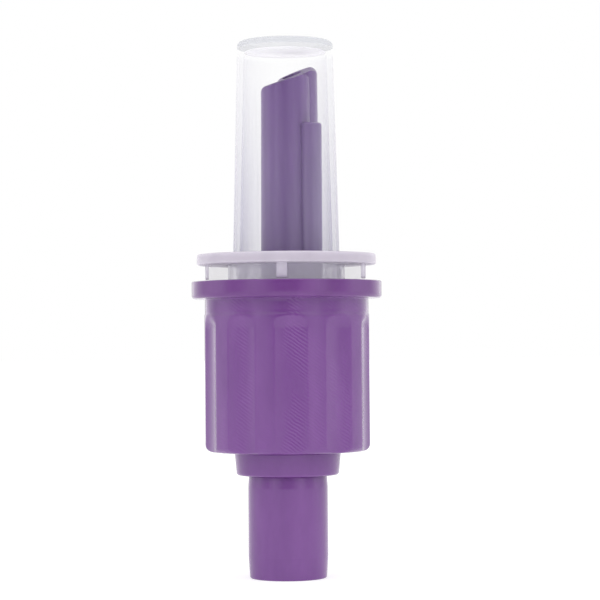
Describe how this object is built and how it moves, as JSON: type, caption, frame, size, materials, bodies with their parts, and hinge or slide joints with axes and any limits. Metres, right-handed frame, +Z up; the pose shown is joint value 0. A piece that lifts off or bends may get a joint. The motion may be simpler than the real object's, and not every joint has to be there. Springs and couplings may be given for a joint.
{
  "type": "screw-on piercing spike connector",
  "caption": "Screw-on piercing connector for an enteral feed container: multi-channel spike under a clear cover, fluted swivel collar and a round tube socket.",
  "frame": {"origin": "centre of the tube socket's mouth face, which is the bottom centre of the whole part", "axes": "+Z up along the spike, towards the cover's closed end; -Y is the side with the short rib tube in front; +X to its right"},
  "size_m": [0.019, 0.019, 0.0536],
  "materials": {
    "cover_plastic": "satin translucent",
    "grip_plastic": "satin",
    "spike_plastic": "satin",
    "ring_plastic": "satin",
    "socket_plastic": "satin",
    "seal_rubber": "matte",
    "filter_membrane": "matte",
    "retainer_plastic": "matte"
  },
  "bodies": {
    "connector": {"spike_hub": "spike_plastic", "tube_socket": "socket_plastic", "retaining_ring": "ring_plastic", "mouth_seal": "seal_rubber", "air_filter": "filter_membrane", "filter_retainer": "retainer_plastic"},
    "collar": {"grip_collar": "grip_plastic"},
    "cover": {"spike_cover": "cover_plastic"}
  },
  "joints": [
    {"name": "cover_pull", "type": "slide", "parent": "connector", "child": "cover", "axis": [0, 0, 1], "range_m": [0, 0.034]},
    {"name": "collar_turn", "type": "hinge", "parent": "connector", "child": "collar", "pos_m": [0, 0, 0.0135], "axis": [0, 0, 1], "continuous": true}
  ]
}
